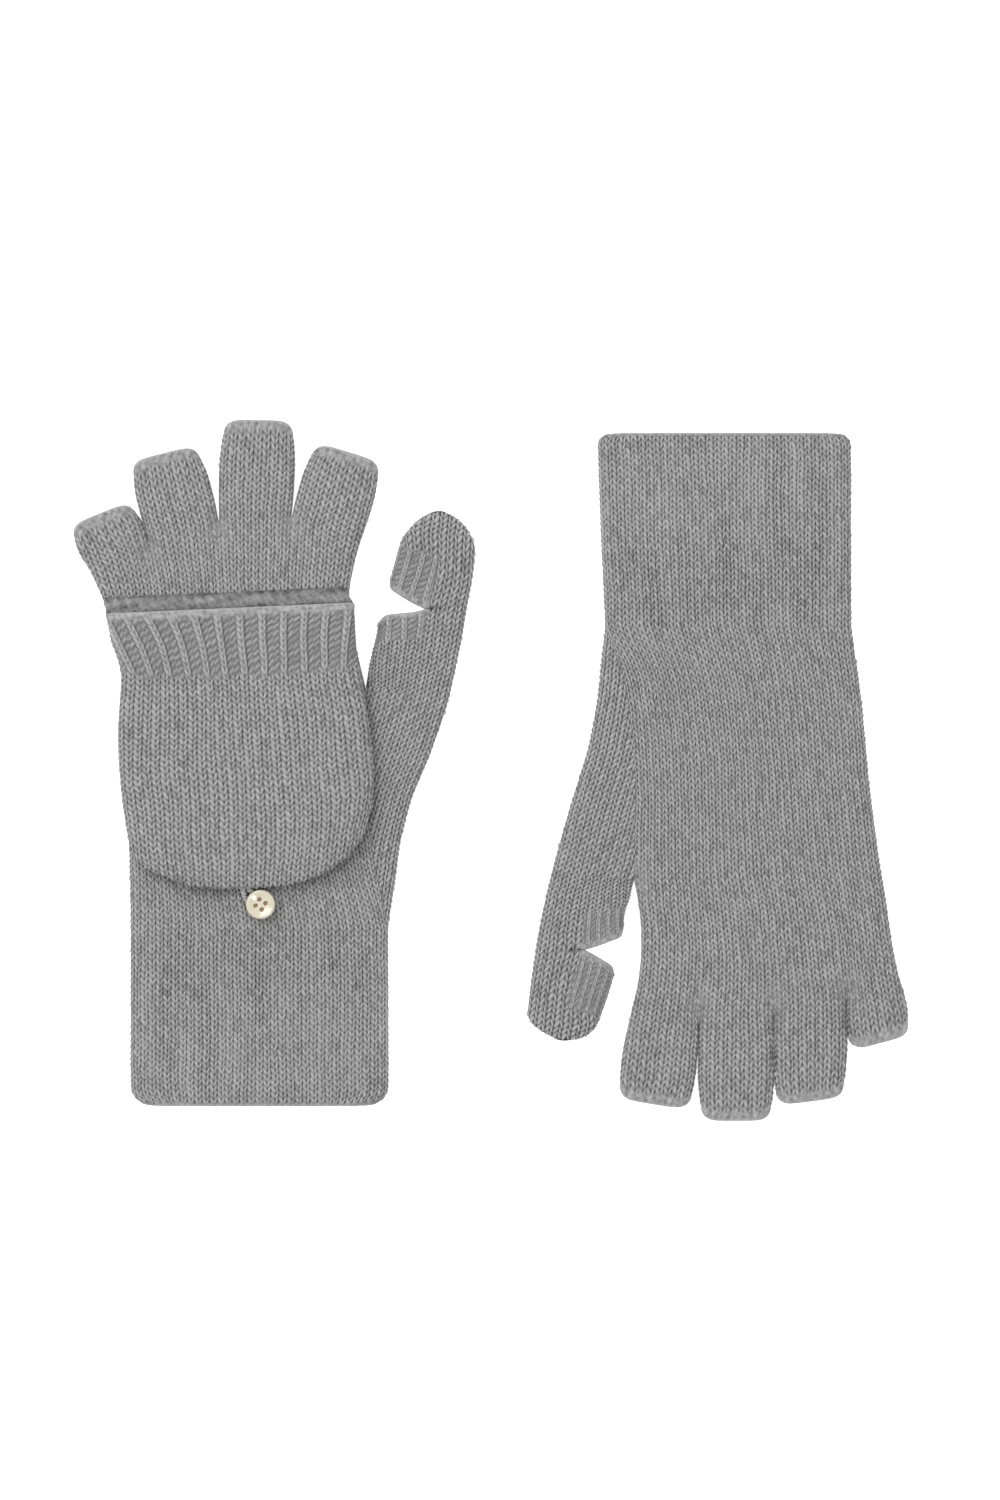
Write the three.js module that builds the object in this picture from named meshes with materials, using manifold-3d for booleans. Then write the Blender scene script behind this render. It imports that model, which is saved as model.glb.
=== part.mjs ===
// A pair of convertible flip-top mittens: fingerless knitted gloves whose mitten cap folds back over the
// back of the hand and buttons down there. Millimetres, +Z up, resting on z = 0.
//
// Each glove is drawn with the back of its hand up, fingers towards +Y and the middle of its cuff's open
// edge at the origin. The left glove lies like that. The right glove is turned over, palm up, with its
// folded cap beneath it.

import * as THREE from 'three';
import { mergeVertices } from 'three/addons/utils/BufferGeometryUtils.js';
import Module from 'manifold-3d';

const wasm = await Module();
wasm.setup();

// ---------------------------------------------------------------- driving dimensions

const GAP = 0.3; // clearance kept between neighbouring pieces
const FABRIC = 1.8; // wall of the hand, fingers, thumb and cuff
const TUBE_HEIGHT = 8.4; // a hand, finger or thumb tube, lying flat
const TUBE_ROUND = 3; // rounding of a tube's long edges
const HOLLOW_ROUND = 1.5; // rounding of the hollow inside it

const CAP_FABRIC = 1.6; // wall of the mitten cap
const CAP_HEIGHT = 7.6; // the folded cap, from panel to panel
const CAP_ROUND = 3;
const CAP_FLOOR = TUBE_HEIGHT + GAP; // the cap lies this high over the back of the hand
const CAP_MIDDLE = CAP_FLOOR + CAP_HEIGHT / 2;
const HEM_DEPTH = 23; // ribbed hem across the cap's mouth

const STACK_HEIGHT = CAP_FLOOR + CAP_HEIGHT;
const TIP_CORNER = 5.5; // corner radius of an open fingertip
const OPEN_BY = 8; // how far a hollow runs past an open edge
const ROOT_DEPTH = 9; // how far a finger's hollow reaches down into the hand

const BUTTON_RADIUS = 5.2;
const BUTTON_HEIGHT = 2.5;
const BUTTON_HOLE_RADIUS = 0.7;
const BUTTON_HOLE_PITCH = 2.6; // centre to centre along the side of the square of holes
const BUTTON_TURN = THREE.MathUtils.degToRad(30);
const SHANK_RADIUS = 0.9;
const SHANK_HEIGHT = 2.1;
const LOOP_CORD = 1.7;
const LOOP_HOLE = 2.0; // radius of the loop's eye round the shank

// Plan outlines of each glove. x runs towards the thumb and y towards the fingers.
const LEFT = {
  name: 'left',
  thumbSide: 1,
  cuff: { halfWidth: 46.3, length: 62.6, corner: 7 },
  littleSide: [[-46.6, 73], [-49, 120], [-53.5, 167]],
  thumbSideOfHand: [[46.3, 66], [45, 100], [38.3, 149.8], [34.5, 165], [32.2, 183]],
  crotches: [[36, 202], [11.3, 211.3], [-14.6, 209.5], [-39.8, 201.2], [-59.8, 191.5]],
  fingers: {
    index: { tip: [31.5, 232.9], lean: 17, width: 24.6 },
    middle: { tip: [-1.6, 245.5], lean: 0, width: 26 },
    ring: { tip: [-33.7, 233.3], lean: -14, width: 24.5 },
    little: { tip: [-56.6, 211.4], lean: -22, width: 23.4 },
  },
  thumb: {
    edge: [
      [46.3, 66], [50.9, 95], [60.7, 123.8], [69.7, 152.6], [74.3, 177.8], [77.4, 198],
      [73.8, 208.5], [63.9, 213.5], [54.6, 208.8], [49.2, 198], [45, 181], [38.3, 149.8],
    ],
    root: [[33, 100], [33, 66]],
    gussetSeam: [[38.3, 149.8], [34, 112], [47, 68]],
    tubeSeam: [[38.3, 149.8], [69, 145]],
    besideIndex: [39, 185],
    hinge: [75.6, 178.3],
    slitLips: [[44.5, 176.4], [46.8, 185.4]],
  },
  cap: {
    hem: [[34.4, 179.3], [-54.5, 175.3]],
    edge: [
      [-54.5, 175.3], [-50.2, 157], [-50.9, 131], [-49.5, 109.4], [-46.6, 92.5], [-38, 84], [-20, 77.2],
      [-2, 77.1], [14.6, 79.2], [33.3, 90.7], [40.5, 106], [40.4, 128], [35.5, 159.8], [34.4, 179.3],
    ],
    tip: [-4, 75.5],
    button: [0.7, 71.4],
  },
};

const RIGHT = {
  name: 'right',
  thumbSide: -1,
  cuff: { halfWidth: 45.4, length: 68, corner: 5.5 },
  littleSide: [[-46.8, 77], [-51.8, 122], [-58, 167]],
  thumbSideOfHand: [[43, 66], [41, 100], [32.8, 160.6], [30.2, 175], [30.6, 192]],
  crotches: [[32, 203], [9.4, 206.6], [-17.5, 206.2], [-43.6, 201], [-62.4, 192]],
  fingers: {
    index: { tip: [23.4, 240], lean: 8, width: 25.6 },
    middle: { tip: [-4.1, 245.9], lean: 0, width: 26 },
    ring: { tip: [-32, 239], lean: -7, width: 25.6 },
    little: { tip: [-57, 217.5], lean: -16, width: 21.6 },
  },
  thumb: {
    edge: [
      [43, 66], [45.7, 95], [51.8, 122], [57.2, 140], [64.4, 167], [67.8, 186], [70.9, 206],
      [67.4, 213.6], [58.7, 216.7], [49, 215.6], [43.6, 207], [37.6, 184], [32.8, 160.6],
    ],
    root: [[31, 104], [31, 66]],
    gussetSeam: [[32.8, 160.6], [31.4, 112], [43.6, 70]],
    tubeSeam: [[32.8, 160.6], [63, 154]],
    besideIndex: [34, 185],
    hinge: [69, 184.6],
    slitLips: [[35.6, 180], [39, 191.5]],
  },
  cap: {
    hem: [[29.4, 178.6], [-57, 175.4]],
    edge: [
      [-57, 175.4], [-53.4, 156], [-51, 131], [-48.4, 109], [-44.5, 93], [-36, 84], [-20, 77.2],
      [-2, 77.1], [14, 79.2], [30, 90.7], [36, 106], [36, 128], [30.8, 159.8], [29.4, 178.6],
    ],
    tip: [-4, 75.5],
    button: [0.7, 71.4],
  },
};

const FINGERS = ['index', 'middle', 'ring', 'little'];

// ---------------------------------------------------------------- colours

const YARN = { color: 0x8f8f8f, roughness: 0.95, metalness: 0 };
const YARN_CAP = { color: 0x929292, roughness: 0.95, metalness: 0 };
const YARN_LINING = { color: 0x8a8a8a, roughness: 0.95, metalness: 0 };
const YARN_CORD = { color: 0x868686, roughness: 0.95, metalness: 0 };
const SHELL_BUTTON = { color: 0xd4cdb6, roughness: 0.25, metalness: 0 };
const SEWING_THREAD = { color: 0xb7ad98, roughness: 0.8, metalness: 0 };

// ---------------------------------------------------------------- shapes and solids

const vector = ([x, y]) => new THREE.Vector2(x, y);

/** Points along a smooth edge through a few plan points, with so many steps between each two. */
function smooth(points, stepsEach = 3) {
  return new THREE.SplineCurve(points.map(vector)).getPoints((points.length - 1) * stepsEach);
}

/** The same closed outline, moved inwards by a distance. The outline runs anticlockwise. */
function inset(outline, distance) {
  return outline.map((point, i) => {
    const before = outline[(i + outline.length - 1) % outline.length];
    const after = outline[(i + 1) % outline.length];
    const arriving = point.clone().sub(before).normalize();
    const leaving = after.clone().sub(point).normalize();
    const inwards = new THREE.Vector2(-arriving.y - leaving.y, arriving.x + leaving.x).normalize();
    const along = Math.max(0.5, inwards.dot(new THREE.Vector2(-leaving.y, leaving.x)));
    return point.clone().addScaledVector(inwards, distance / along);
  });
}

/** Short arc points that round the corner between two straight edges. */
function corner(before, at, after, radius, steps = 4) {
  const start = at.clone().add(before.clone().sub(at).setLength(radius));
  const end = at.clone().add(after.clone().sub(at).setLength(radius));
  return new THREE.QuadraticBezierCurve(start, at, end).getPoints(steps);
}

/** Extrudes a closed plan outline between two heights, with rounded long edges if round is above 0. */
function slab(outline, low, high, round = 0, side = 1) {
  const shape = new THREE.Shape(outline.map((p) => new THREE.Vector2(p.x * side, p.y)));
  const geometry = new THREE.ExtrudeGeometry(shape, {
    depth: high - low - 2 * round,
    bevelEnabled: round > 0,
    bevelThickness: round,
    bevelSize: round,
    bevelOffset: -round,
    bevelSegments: 2,
  });
  geometry.translate(0, 0, low + round);
  return solidOf(geometry);
}

/** A closed three.js geometry as a manifold solid. */
function solidOf(geometry) {
  geometry.deleteAttribute('normal');
  geometry.deleteAttribute('uv');
  const merged = mergeVertices(geometry, 1e-4);
  return new wasm.Manifold(new wasm.Mesh({
    numProp: 3,
    vertProperties: Float32Array.from(merged.attributes.position.array),
    triVerts: Uint32Array.from(merged.index.array),
  }));
}

/** A manifold solid as a three.js geometry. */
function geometryOf(solid) {
  const { vertProperties, triVerts } = solid.getMesh();
  const geometry = new THREE.BufferGeometry();
  geometry.setAttribute('position', new THREE.BufferAttribute(vertProperties, 3));
  geometry.setIndex(new THREE.BufferAttribute(triVerts, 1));
  geometry.computeVertexNormals();
  return geometry;
}

const joined = (solids) => solids.reduce((sum, solid) => sum.add(solid));

function named(name, geometry, look) {
  const mesh = new THREE.Mesh(geometry, new THREE.MeshStandardMaterial(look));
  mesh.name = name;
  return mesh;
}

// ---------------------------------------------------------------- the glove's plan

/** Outline of the cuff and hand, up to the line through the finger crotches. */
function handOutline(glove, openBy) {
  const { halfWidth, corner: radius } = glove.cuff;
  const thumbFoot = new THREE.Vector2(halfWidth, -openBy);
  const littleFoot = new THREE.Vector2(-halfWidth, -openBy);
  const thumbEdge = glove.thumbSideOfHand.map(vector);
  const littleEdge = smooth([glove.crotches.at(-1), ...glove.littleSide.toReversed()]);
  return [
    ...corner(littleFoot, thumbFoot, thumbEdge[0], radius),
    ...thumbEdge,
    ...glove.crotches.slice(0, -1).map(vector),
    ...littleEdge,
    ...corner(littleEdge.at(-1), littleFoot, thumbFoot, radius),
  ];
}

/** Outline of one finger. It reaches down into the hand, and past its own tip by openBy. */
function fingerOutline(glove, name, openBy) {
  const order = FINGERS.indexOf(name);
  const { tip, lean, width } = glove.fingers[name];
  const angle = THREE.MathUtils.degToRad(lean);
  const along = new THREE.Vector2(Math.sin(angle), Math.cos(angle));
  const across = new THREE.Vector2(along.y, -along.x);
  const rootThumb = vector(glove.crotches[order]);
  const rootLittle = vector(glove.crotches[order + 1]);
  const middle = vector(tip).addScaledVector(along, openBy);
  const tipThumb = middle.clone().addScaledVector(across, width / 2);
  const tipLittle = middle.clone().addScaledVector(across, -width / 2);
  const down = rootThumb.clone().add(rootLittle).multiplyScalar(0.5).sub(middle).setLength(ROOT_DEPTH);
  const outline = [
    rootThumb.clone().add(down),
    rootThumb,
    ...corner(rootThumb, tipThumb, tipLittle, TIP_CORNER),
    ...corner(tipThumb, tipLittle, rootLittle, TIP_CORNER),
    rootLittle,
    rootLittle.clone().add(down),
  ];
  return inset(outline, GAP / 2);
}

/** Outline of the thumb with its gusset, round a closed tip and back to the crotch. */
const thumbOutline = (glove) => [...smooth(glove.thumb.edge), ...glove.thumb.root.map(vector)];

/** Outline of the mitten cap: its mouth is the straight hem, its end is round. */
function capOutline(glove, openBy) {
  const edge = smooth(glove.cap.edge, 2);
  const [thumbEnd, littleEnd] = glove.cap.hem.map(vector);
  const forward = new THREE.Vector2(littleEnd.y - thumbEnd.y, thumbEnd.x - littleEnd.x).setLength(openBy);
  const mouth = openBy > 0 ? [thumbEnd.add(forward), littleEnd.add(forward)] : [];
  return [...edge, ...mouth];
}

/** A tall cutter over everything on the left of a seam line, walked from its first point to its last. */
function beside(line, side, reach = 400) {
  const points = line.map(vector);
  const start = points[0];
  const end = points.at(-1);
  const outStart = start.clone().sub(points[1]).setLength(reach).add(start);
  const outEnd = end.clone().sub(points.at(-2)).setLength(reach).add(end);
  const across = outEnd.clone().sub(outStart);
  const left = new THREE.Vector2(-across.y, across.x).setLength(reach);
  const outline = [outStart, ...points, outEnd, outEnd.clone().add(left), outStart.clone().add(left)];
  return (shift) => slab(inset(outline, shift), -reach / 10, reach / 10, 0, side);
}

// ---------------------------------------------------------------- knitted pieces

/** Cuff, hand, finger tubes, thumb gusset, thumb tube and thumb cap: one hollow hand, cut at its seams. */
function knittedHand(glove) {
  const side = glove.thumbSide;
  const tube = (outline) => slab(outline, 0, TUBE_HEIGHT, TUBE_ROUND, side);
  const hollow = (outline) =>
    slab(inset(outline, FABRIC), FABRIC, TUBE_HEIGHT - FABRIC, HOLLOW_ROUND, side);

  const palm = tube(handOutline(glove, 0));
  const thumb = tube(thumbOutline(glove));
  const fingers = FINGERS.map((name) => tube(fingerOutline(glove, name, 0)));
  const inside = joined([
    hollow(handOutline(glove, OPEN_BY)),
    hollow(thumbOutline(glove)),
    ...FINGERS.map((name) => hollow(fingerOutline(glove, name, OPEN_BY))),
  ]);
  const shell = joined([palm, thumb, ...fingers]).subtract(inside);

  const { length } = glove.cuff;
  const { gussetSeam, tubeSeam, besideIndex, hinge, slitLips } = glove.thumb;
  const seam = GAP / 2;
  const aboveCuff = beside([[-100, length], [100, length]], side);
  const belowCuff = beside([[100, length], [-100, length]], side);
  const handFromThumb = [...gussetSeam.toReversed(), besideIndex];
  const handOfGusset = beside(handFromThumb, side);
  const thumbOfGusset = beside(handFromThumb.toReversed(), side);
  const belowKnuckles = beside(glove.crotches, side);
  const aboveTubeSeam = beside(tubeSeam, side);
  const belowTubeSeam = beside(tubeSeam.toReversed(), side);
  const belowSlit = beside([hinge, slitLips[0]], side);
  const aboveSlit = beside([slitLips[1], hinge], side);

  const pieces = {
    cuff: shell.intersect(belowCuff(seam)),
    hand: shell.intersect(aboveCuff(seam)).intersect(handOfGusset(seam)).intersect(belowKnuckles(seam)),
    thumb_gusset: shell.intersect(aboveCuff(seam)).intersect(thumbOfGusset(seam))
      .intersect(belowTubeSeam(seam)),
    thumb_tube: thumb.subtract(inside).intersect(aboveTubeSeam(seam)).intersect(belowSlit(0)),
    thumb_cap: thumb.subtract(inside).intersect(aboveSlit(0)),
  };
  FINGERS.forEach((name, i) => {
    const aboveRoot = beside([glove.crotches[i + 1], glove.crotches[i]], side);
    pieces[`${name}_tube`] = fingers[i].subtract(inside).intersect(aboveRoot(seam));
  });
  return pieces;
}

/** Mitten cap: a flat pouch cut at mid height into its back panel and palm panel, with a ribbed hem. */
function mittenCap(glove) {
  const side = glove.thumbSide;
  const top = CAP_FLOOR + CAP_HEIGHT;
  const pouch = slab(capOutline(glove, 0), CAP_FLOOR, top, CAP_ROUND, side);
  const pocket = slab(
    inset(capOutline(glove, OPEN_BY), CAP_FABRIC), CAP_FLOOR + CAP_FABRIC, top - CAP_FABRIC, HOLLOW_ROUND, side);
  const shell = pouch.subtract(pocket);
  const wide = [[-100, 0], [100, 0], [100, 300], [-100, 300]].map(vector);
  const lowerHalf = slab(wide, 0, CAP_MIDDLE - GAP / 2, 0, side);
  const upperHalf = slab(wide, CAP_MIDDLE + GAP / 2, top + 1, 0, side);
  const hemLine = glove.cap.hem.map(([x, y]) => [x, y - HEM_DEPTH]);
  const behindHem = beside(hemLine, side);
  const hemSide = beside(hemLine.toReversed(), side);
  return {
    cap_back_panel: shell.intersect(lowerHalf),
    cap_palm_panel: shell.intersect(upperHalf).intersect(behindHem(GAP / 2)),
    cap_hem: shell.intersect(upperHalf).intersect(hemSide(GAP / 2)),
  };
}

/** Cord loop from the cap's tip round the button's shank, lying flat on the back of the hand. */
function buttonLoop(glove) {
  const tip = vector(glove.cap.tip);
  const eye = vector(glove.cap.button);
  const toTip = tip.clone().sub(eye);
  const heading = toTip.angle();
  const ring = LOOP_HOLE + LOOP_CORD;
  const ringPoints = [];
  const steps = 16;
  const neck = Math.asin(LOOP_CORD / ring);
  for (let i = 0; i <= steps; i += 1) {
    const angle = heading + neck + (i / steps) * 2 * (Math.PI - neck);
    ringPoints.push(new THREE.Vector2(Math.cos(angle), Math.sin(angle)).multiplyScalar(ring).add(eye));
  }
  const acrossNeck = new THREE.Vector2(-toTip.y, toTip.x).setLength(LOOP_CORD);
  const outline = [...ringPoints, tip.clone().sub(acrossNeck), tip.clone().add(acrossNeck)];
  const low = TUBE_HEIGHT + GAP;
  const cord = slab(outline, low, low + LOOP_CORD, 0.4, glove.thumbSide);
  const hole = new THREE.CylinderGeometry(LOOP_HOLE, LOOP_HOLE, 10, 16).rotateX(Math.PI / 2);
  hole.translate(eye.x * glove.thumbSide, eye.y, low);
  return cord.subtract(solidOf(hole));
}

/** Flat sew-through button with a raised rim and four holes, standing off on its thread shank. */
function shellButton() {
  const rim = 0.9;
  const dish = 0.45;
  const profile = [
    [0, 0.25], [2.6, 0.05], [BUTTON_RADIUS - 1, 0], [BUTTON_RADIUS - 0.3, 0.5], [BUTTON_RADIUS, 1.3],
    [BUTTON_RADIUS - 0.25, 2.1], [BUTTON_RADIUS - rim, BUTTON_HEIGHT],
    [BUTTON_RADIUS - 2 * rim, BUTTON_HEIGHT - dish], [0, BUTTON_HEIGHT - dish],
  ].map(([r, z]) => new THREE.Vector2(r, z));
  const disc = solidOf(new THREE.LatheGeometry(profile, 28).rotateX(Math.PI / 2));
  const holes = [0, 1, 2, 3].map((quarter) => {
    const angle = BUTTON_TURN + (quarter * Math.PI) / 2;
    const reach = BUTTON_HOLE_PITCH / Math.SQRT2;
    const hole = new THREE.CylinderGeometry(BUTTON_HOLE_RADIUS, BUTTON_HOLE_RADIUS, 12, 8);
    hole.rotateX(Math.PI / 2).translate(reach * Math.cos(angle), reach * Math.sin(angle), 0);
    return solidOf(hole);
  });
  return geometryOf(disc.subtract(joined(holes)));
}

/** Thread shank, waisted where it is wound. */
function threadShank() {
  const profile = [
    [0, 0], [SHANK_RADIUS * 1.3, 0], [SHANK_RADIUS, 0.5], [SHANK_RADIUS, SHANK_HEIGHT - 0.4],
    [SHANK_RADIUS * 1.2, SHANK_HEIGHT], [0, SHANK_HEIGHT],
  ].map(([r, z]) => new THREE.Vector2(r, z));
  return new THREE.LatheGeometry(profile, 12).rotateX(Math.PI / 2);
}

// ---------------------------------------------------------------- assembly

function buildGlove(glove) {
  const group = new THREE.Group();
  const label = (piece) => `${glove.name}_${piece}`;
  for (const [piece, solid] of Object.entries(knittedHand(glove))) {
    group.add(named(label(piece), geometryOf(solid), YARN));
  }
  const capLooks = { cap_back_panel: YARN_LINING, cap_palm_panel: YARN_CAP, cap_hem: YARN_CAP };
  for (const [piece, solid] of Object.entries(mittenCap(glove))) {
    group.add(named(label(piece), geometryOf(solid), capLooks[piece]));
  }
  group.add(named(label('button_loop'), geometryOf(buttonLoop(glove)), YARN_CORD));

  const [buttonX, buttonY] = glove.cap.button;
  const shank = named(label('button_thread'), threadShank(), SEWING_THREAD);
  shank.position.set(buttonX * glove.thumbSide, buttonY, TUBE_HEIGHT + GAP);
  const button = named(label('button'), shellButton(), SHELL_BUTTON);
  button.position.set(buttonX * glove.thumbSide, buttonY, TUBE_HEIGHT + GAP + SHANK_HEIGHT + GAP);
  group.add(shank, button);
  return group;
}

/** Plan place of the middle of each cuff's open edge. The pair's origin is the middle of its footprint. */
const LEFT_PLACE = [-83.76, -120, 0];
const RIGHT_PLACE = [83.14, 120.4, STACK_HEIGHT];

const pair = new THREE.Group();
const leftGlove = buildGlove(LEFT);
leftGlove.position.set(...LEFT_PLACE);
const rightGlove = buildGlove(RIGHT);
rightGlove.position.set(...RIGHT_PLACE);
rightGlove.rotation.x = Math.PI; // palm up, fingers towards -Y
pair.add(leftGlove, rightGlove);

export default pair;
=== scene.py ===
"""Convertible flip-top mittens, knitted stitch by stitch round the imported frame.

Each glove is laid out in a plan of its own, in millimetres: x towards the thumb, y from the cuff's open
edge to the fingers, z from the palm to the back of the hand. Every knitted piece is one or more sheets
of fabric: a plan patch between four edges, lifted to the rounded height of a tube lying flat, and then
raised along its normals by the stitches themselves.
"""

import bpy
import numpy as np
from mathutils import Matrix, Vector


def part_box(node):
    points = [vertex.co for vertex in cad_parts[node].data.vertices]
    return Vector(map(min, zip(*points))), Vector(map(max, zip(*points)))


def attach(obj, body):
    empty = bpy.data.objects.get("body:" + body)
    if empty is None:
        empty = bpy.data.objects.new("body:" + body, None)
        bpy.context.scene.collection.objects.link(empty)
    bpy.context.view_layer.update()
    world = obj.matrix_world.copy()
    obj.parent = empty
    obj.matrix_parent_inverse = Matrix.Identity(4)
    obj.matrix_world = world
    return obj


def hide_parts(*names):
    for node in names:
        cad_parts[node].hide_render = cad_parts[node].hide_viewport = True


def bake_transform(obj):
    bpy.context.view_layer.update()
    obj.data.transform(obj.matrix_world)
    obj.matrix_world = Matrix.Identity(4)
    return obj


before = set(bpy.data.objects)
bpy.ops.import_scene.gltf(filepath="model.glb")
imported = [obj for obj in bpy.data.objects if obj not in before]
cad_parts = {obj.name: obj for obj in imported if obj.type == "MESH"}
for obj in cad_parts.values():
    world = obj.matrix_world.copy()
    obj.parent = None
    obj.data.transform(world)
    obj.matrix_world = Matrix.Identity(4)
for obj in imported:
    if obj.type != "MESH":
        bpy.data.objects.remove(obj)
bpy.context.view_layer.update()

# ---- sizes, millimetres

MM = 0.001

# Fabric
FABRIC = 1.8  # thickness of the knitted wall
CAP_FABRIC = 1.6
WALE = 2.95  # width of a stitch
COURSE = 2.15  # height of a stitch
RELIEF = 0.9  # how far the stitches stand out
LEVEL = 0.6  # the height of 0 to 1 at which the stitches meet the sheet itself
V_MIDDLE = 0.6  # where in a wale a stitch's two legs meet
LEG_RISE = 0.85  # courses that a leg climbs
RIB_PITCH = 7.4  # one knit wale and two purl wales
EDGE_TAPER = 2.5  # length over which a rolled edge thins out at its ends
PLAIN = (9, 5)  # grid columns in a wale and rows in a course, where the knitting faces the viewer
RIBBED = (14, 7)  # the same for the narrow ribbed parts
COARSE = 4  # grid columns in a wale on the hidden side

# Glove
HAND_MIDDLE = 4.2  # height of the hand's mid plane over the palm side
BACK = 8.4  # height of the back of the hand
HAND_WIDTH = 92.0  # fabric across the hand
MOUTH = -1.1  # y of the last stitches at the cuff's open edge
CUFF_HALFWAY = 30  # y of the middle points of the cuff's sides
TIP_DROP = 3.1  # how far the corners of a fingertip fall away
THUMB_BEND = 12.0  # spacing of two points across the middle of the thumb's slit, which bend_thumb works out and does not use

# Flip cap
CAP_MIDDLE = 12.5  # height of the folded cap's mid plane
CAP_WIDTH = 88.0  # fabric across the cap
CAP_END = 14  # what the rounded end adds to the length of the cap's sides
HEM_DEPTH = 23.0  # ribbed hem across the cap's mouth

# Button, as (distance from the middle, height) from the middle of its face, round the rim, to its underside
BUTTON_PROFILE = [(0, 1.75), (1.2, 1.76), (2.3, 1.84), (3.1, 2.06), (3.9, 2.36), (4.4, 2.5), (4.8, 2.42),
                  (5.15, 2.0), (5.3, 1.3), (5.0, 0.6), (4.3, 0.1), (2.5, 0.05), (0, 0.05)]
BUTTON_FACE = 3.2  # how much of the profile is the dished face, which has the holes
BUTTON_TURN = np.radians(13)  # the four holes' turn in the plan
BUTTON_GAP = 2.7  # from the fabric to the underside of the button
HOLE_REACH = 1.84  # from the button's middle to each hole
HOLE_DEPTH = 1.1

# Loop, as (across, up) from the button's middle and height over the back of the hand
LOOP_ROUTE = [(-6.4, 7.8, 3.7), (-6.6, 6.2, 3.3), (-6.2, 4.2, 2.8), (-5.3, 1.9, 2.1), (-4.1, -0.6, 1.4),
              (-2.0, -2.4, 1.3), (0.8, -2.9, 1.3), (2.7, -1.2, 1.3), (2.7, 1.4, 1.3), (0.7, 3.4, 1.6),
              (-2.0, 4.1, 2.1), (-3.7, 4.9, 2.8), (-4.4, 6.2, 3.3), (-4.5, 7.8, 3.7)]
LOOP_ROOT = (-4.0, 75.5)  # where the loop leaves the cap's tip
PLY_PITCH = 3.0  # length of a full twist of the loop's two plies
PLY_OFFSET = 0.46  # from the cord's middle to the middle of a ply
PLY_RADIUS = 0.56

# ---- counts

FINGERS = ["little", "ring", "middle", "index"]
BASE_WALES = dict(zip(FINGERS, (8, 9, 9, 9)))  # across a finger's foot
FINGER_WALES = dict(zip(FINGERS, (9, 10, 10, 10)))
HAND_WALES = sum(BASE_WALES.values())
THUMB_WALES = 11
CAP_WALES = 28

# Seeds of the wandering of the stitches: pieces that share one run on into each other.
HAND_SEED, THUMB_SEED, CAP_SEED, CAP_BACK_SEED = 21, 31, 41, 61

# ---- the two gloves' plans

LEFT = {
    "name": "left",
    "fine": 1,  # the side that faces up: the back of the hand
    "cuff": {"sides": ((-46.4, -46.4, -46.4), (46.6, 46.6, 46.4)), "length": 62.6, "corner": 7.2},
    "little_edge": [(-46.4, 62.6), (-46.6, 73), (-47.0, 90), (-48.6, 120), (-49.8, 153), (-53.7, 167),
                    (-56.1, 180)],
    "seam": [(46.4, 62.6), (41, 90), (37.5, 120), (38.3, 149.8)],
    "web": [(38.3, 149.8), (34.8, 165), (32.5, 181.4), (34.1, 193)],
    "crotches": [(-61.1, 191.5), (-39.8, 201.2), (-14.6, 209.5), (11.7, 211.3), (36.3, 201.5)],
    "fingers": {
        "little": {"tip": (-57.0, 211.4), "lean": -22, "width": 24.6},
        "ring": {"tip": (-34.3, 233.0), "lean": -14, "width": 25.6},
        "middle": {"tip": (-0.3, 244.9), "lean": 1, "width": 25.8},
        "index": {"tip": (32.0, 233.4), "lean": 17, "width": 25.6},
    },
    "thumb": {
        "outer": [(46.4, 62.6), (49.1, 80.6), (51.2, 95), (55.1, 109.4), (61.0, 123.8), (66.2, 138.2),
                  (68.6, 146.2)],
        "tube_outer": [(68.6, 146.2), (73.0, 167), (74.8, 178.2)],
        "tube_inner": [(38.3, 149.8), (39.4, 156), (40.9, 163), (42.7, 170.5)],
        "tube_lip": [(42.7, 170.5), (43.9, 173.2), (46.6, 174.8), (53.4, 175.5), (57.5, 176.1),
                     (61.6, 177.6)],
        "cap_lip": [(47.1, 188.5), (47.5, 186.3), (49.2, 184.6), (54.8, 181.1), (61.6, 177.8)],
        "cap_inner": [(47.1, 188.5), (48.6, 194.4), (50.8, 201.7), (53.3, 206.0), (57.8, 210.4),
                      (61.9, 212.5)],
        "cap_outer": [(74.8, 178.2), (77.0, 190), (77.8, 199), (76.8, 203.2), (74.4, 207.4),
                      (70.6, 210.9), (67, 212.7)],
        "lip": (11.0, 18.0),  # depth of the ribbed band on the tube and on the cap
        "rib": 5.5,  # pitch of its ribs
    },
    "cap": {
        "little_side": [(-46.6, 92.5), (-49.2, 109.4), (-50.7, 131), (-49.6, 155), (-52.4, 165),
                        (-54.9, 175.3)],
        "thumb_side": [(38.2, 97.5), (41.3, 113), (40.7, 128), (38.3, 145.4), (35.6, 160), (34.4, 179.3)],
        "end": [(-46.6, 92.5), (-43.6, 87.3), (-38, 83.2), (-28.6, 79.3), (-19.6, 77.4), (-4, 77.0),
                (14.6, 79.3), (25, 83.6), (33.3, 90), (38.2, 97.5)],
        "seam": [(-55.6, 181.8), (-20, 183.2), (10, 184.6), (30.4, 185.8)],
        "button": (0.7, 71.4),
    },
}

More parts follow.
